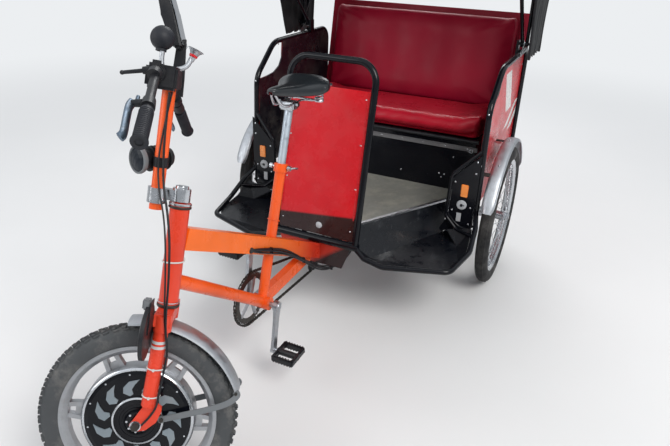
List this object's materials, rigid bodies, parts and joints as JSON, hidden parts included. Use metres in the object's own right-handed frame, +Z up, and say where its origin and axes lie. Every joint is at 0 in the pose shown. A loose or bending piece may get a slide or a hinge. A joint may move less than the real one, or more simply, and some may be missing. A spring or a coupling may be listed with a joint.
{
  "type": "cycle rickshaw",
  "caption": "Three-wheeled cycle rickshaw: steered front wheel with hub motor, saddle and cranks, two-seat cab with folding hood over spoked rear wheels",
  "frame": {"origin": "On the ground, in the middle of the whole vehicle's length and width as it stands parked", "axes": "+X forward along the vehicle, +Y to its left, +Z up"},
  "size_m": [2.6388, 1.3, 1.9406],
  "materials": {
    "seat_vinyl": "satin",
    "black_paint": "gloss",
    "black_plastic": "satin",
    "chrome": "gloss",
    "floor_grey": "satin",
    "chain_steel": "satin",
    "silver_metal": "satin",
    "frame_paint": "gloss",
    "grip_rubber": "matt",
    "tyre_rubber": "matt",
    "alloy": "satin",
    "hood_fabric": "matt",
    "red_panel": "gloss",
    "saddle_leather": "satin"
  },
  "bodies": {
    "root": {"back_cushion": "seat_vinyl", "back_panel": "black_paint", "battery": "black_paint", "cab_floor": "floor_grey", "chain": "chain_steel", "down_tube": "frame_paint", "frame_cable": "grip_rubber", "grab_hoop": "black_paint", "guide_wheels": "black_plastic", "head_tube": "frame_paint", "hoop_apron": "red_panel", "hoop_panel": "red_panel", "main_beam": "frame_paint", "rear_axle": "silver_metal", "rear_chassis": "frame_paint", "rear_fenders": "silver_metal", "rear_strut": "frame_paint", "saddle": "saddle_leather", "saddle_rails": "chrome", "seat_box": "black_paint", "seat_cushion": "seat_vinyl", "seat_post": "chrome", "seat_release": "silver_metal", "seat_trim": "black_paint", "seat_tube": "frame_paint", "side_frames": "black_paint", "side_panels": "red_panel", "step_rails": "black_paint", "step_trays": "black_paint", "wing_panels": "black_paint"},
    "steering": {"fork": "frame_paint", "front_axle": "silver_metal", "stem": "chrome", "riser": "frame_paint", "handlebar": "black_plastic", "grips": "grip_rubber", "brake_levers": "black_plastic", "headlight": "black_plastic", "mirror": "black_plastic", "bulb_horn": "chrome", "horn_bulb": "grip_rubber", "front_fender": "silver_metal", "front_disc": "black_plastic", "fork_cable": "grip_rubber"},
    "front_wheel_body": {"front_tyre": "tyre_rubber", "front_wheel": "alloy", "hub_motor": "black_paint", "hub_blades": "alloy"},
    "rear_wheel_left_body": {"rear_tyre_left": "tyre_rubber", "rear_wheel_left": "chrome"},
    "rear_wheel_right_body": {"rear_tyre_right": "tyre_rubber", "rear_wheel_right": "chrome"},
    "crank_body": {"crank": "silver_metal"},
    "pedal_left_body": {"pedal_left": "black_plastic"},
    "pedal_right_body": {"pedal_right": "black_plastic"},
    "hood_rear": {"hood_bow_rear": "black_paint", "hood_canopy": "hood_fabric"},
    "hood_mid": {"hood_bow_mid": "black_paint"},
    "hood_front": {"hood_bow_front": "black_paint"}
  },
  "joints": [
    {"name": "steering", "type": "hinge", "parent": "root", "child": "steering", "pos_m": [1.13138, 0, 0.25705], "axis": [-0.3173, 0, 0.9483], "range_deg": [-2, 122]},
    {"name": "front_wheel_spin", "type": "hinge", "parent": "steering", "child": "front_wheel_body", "pos_m": [1.14987, -0.03377, 0.26324], "axis": [0.8213, 0.5, 0.2748], "continuous": true},
    {"name": "rear_wheel_left_spin", "type": "hinge", "parent": "root", "child": "rear_wheel_left_body", "pos_m": [-0.53663, 0.6, 0.32], "axis": [0, 1, 0], "continuous": true},
    {"name": "rear_wheel_right_spin", "type": "hinge", "parent": "root", "child": "rear_wheel_right_body", "pos_m": [-0.53663, -0.6, 0.32], "axis": [0, 1, 0], "continuous": true},
    {"name": "crank_spin", "type": "hinge", "parent": "root", "child": "crank_body", "pos_m": [0.56337, 0, 0.303], "axis": [0, 1, 0], "continuous": true},
    {"name": "pedal_left_spin", "type": "hinge", "parent": "crank_body", "child": "pedal_left_body", "pos_m": [0.59288, 0.122, 0.13558], "axis": [0, 1, 0], "continuous": true},
    {"name": "pedal_right_spin", "type": "hinge", "parent": "crank_body", "child": "pedal_right_body", "pos_m": [0.53385, -0.122, 0.47042], "axis": [0, 1, 0], "continuous": true},
    {"name": "hood_fold", "type": "hinge", "parent": "root", "child": "hood_rear", "pos_m": [-0.80663, 0, 1.05], "axis": [0, 1, 0], "range_deg": [-60, 0]},
    {"name": "hood_mid_fold", "type": "hinge", "parent": "hood_rear", "child": "hood_mid", "pos_m": [-0.80663, 0, 1.05], "axis": [0, 1, 0], "range_deg": [-38, 0]},
    {"name": "hood_front_fold", "type": "hinge", "parent": "hood_rear", "child": "hood_front", "pos_m": [-0.80663, 0, 1.05], "axis": [0, 1, 0], "range_deg": [-75, 0], "deforming": ["hood_canopy"]}
  ],
  "couplings": [
    {"joint": "hood_mid_fold", "follows": "hood_fold", "ratio": 0.617},
    {"joint": "hood_front_fold", "follows": "hood_fold", "ratio": 1.233}
  ]
}
